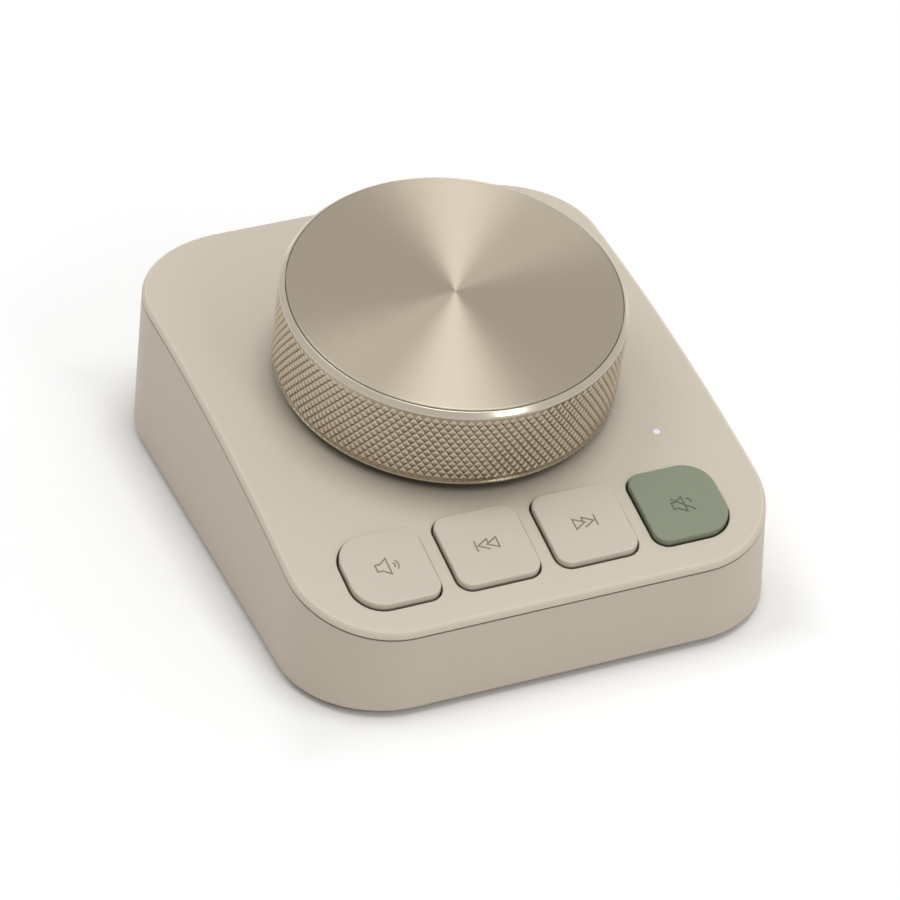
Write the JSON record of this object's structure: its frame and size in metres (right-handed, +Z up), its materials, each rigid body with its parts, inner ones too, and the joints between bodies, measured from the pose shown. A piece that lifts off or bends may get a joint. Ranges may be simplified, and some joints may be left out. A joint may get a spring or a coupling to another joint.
{
  "type": "usb volume control knob",
  "caption": "Wedge-shaped desk controller with a large knurled, brushed-metal volume knob that turns and presses, media keys along the front edge and a rear power and data socket.",
  "frame": {"origin": "centre of the footprint, on the surface that the pad rests on", "axes": "+X to the right along the row of keys, +Y to the back where the socket is, +Z up"},
  "size_m": [0.08, 0.096, 0.0454],
  "materials": {
    "deck_plastic": "fine matte moulded, warm beige",
    "case_plastic": "fine matte moulded, warm beige",
    "key_plastic": "fine matte moulded, warm beige",
    "green_plastic": "fine matte moulded, sage green",
    "base_plastic": "fine matte moulded",
    "pad_rubber": "matte silicone",
    "screw_steel": "zinc plated",
    "plated_steel": "nickel plated",
    "ballast_iron": "zinc plated plate",
    "board": "green solder mask",
    "black_plastic": "matte moulded",
    "ivory_plastic": "matte moulded",
    "part_ceramic": "fired ceramic",
    "ribbon": "laminated film",
    "brass": "machined",
    "shaft_metal": "turned",
    "knob_metal": "champagne anodised, diamond knurl",
    "face_metal": "champagne anodised, circular brushed",
    "tape": "adhesive tissue",
    "lamp": "clear cast over white",
    "clear_plastic": "frosted clear"
  },
  "bodies": {
    "case": {"top_cover": "deck_plastic", "lower_shell": "case_plastic", "base_plate": "base_plastic", "base_pad": "pad_rubber", "case_screws": "screw_steel", "ballast": "ballast_iron", "ballast_screws": "screw_steel", "control_board": "board", "control_board_screws": "screw_steel", "main_board": "board", "main_board_screws": "screw_steel", "controller_chip": "black_plastic", "board_parts": "part_ceramic", "usb_socket": "plated_steel", "usb_insert": "black_plastic", "ribbon_cable": "ribbon", "ribbon_sockets": "ivory_plastic", "encoder_base": "black_plastic", "encoder_bushing": "plated_steel", "encoder_washer": "plated_steel", "encoder_nut": "brass", "key_switches": "black_plastic", "status_led": "lamp", "light_pipe": "clear_plastic"},
    "plunger": {"press_plunger": "ivory_plastic"},
    "knob": {"encoder_shaft": "shaft_metal", "knob_hub": "black_plastic", "hub_screws": "screw_steel", "knob_grip": "knob_metal", "face_tape": "tape", "knob_face": "face_metal"},
    "volume": {"key_volume": "key_plastic", "button_volume": "ivory_plastic"},
    "previous": {"key_previous": "key_plastic", "button_previous": "ivory_plastic"},
    "next": {"key_next": "key_plastic", "button_next": "ivory_plastic"},
    "mute": {"key_mute": "green_plastic", "button_mute": "ivory_plastic"}
  },
  "joints": [
    {"name": "knob_press", "type": "slide", "parent": "case", "child": "plunger", "axis": [0, 0.1495, -0.9888], "range_m": [0, 0.0005], "stiffness_N_per_m": 8000, "springref_m": -0.0002},
    {"name": "knob_turn", "type": "hinge", "parent": "plunger", "child": "knob", "pos_m": [0, 0.0008, 0.02449], "axis": [0, -0.1495, 0.9888], "continuous": true},
    {"name": "volume_press", "type": "slide", "parent": "case", "child": "volume", "axis": [0, 0.1495, -0.9888], "range_m": [0, 0.0006], "stiffness_N_per_m": 2500, "springref_m": -0.0002},
    {"name": "previous_press", "type": "slide", "parent": "case", "child": "previous", "axis": [0, 0.1495, -0.9888], "range_m": [0, 0.0006], "stiffness_N_per_m": 2500, "springref_m": -0.0002},
    {"name": "next_press", "type": "slide", "parent": "case", "child": "next", "axis": [0, 0.1495, -0.9888], "range_m": [0, 0.0006], "stiffness_N_per_m": 2500, "springref_m": -0.0002},
    {"name": "mute_press", "type": "slide", "parent": "case", "child": "mute", "axis": [0, 0.1495, -0.9888], "range_m": [0, 0.0006], "stiffness_N_per_m": 2500, "springref_m": -0.0002}
  ]
}
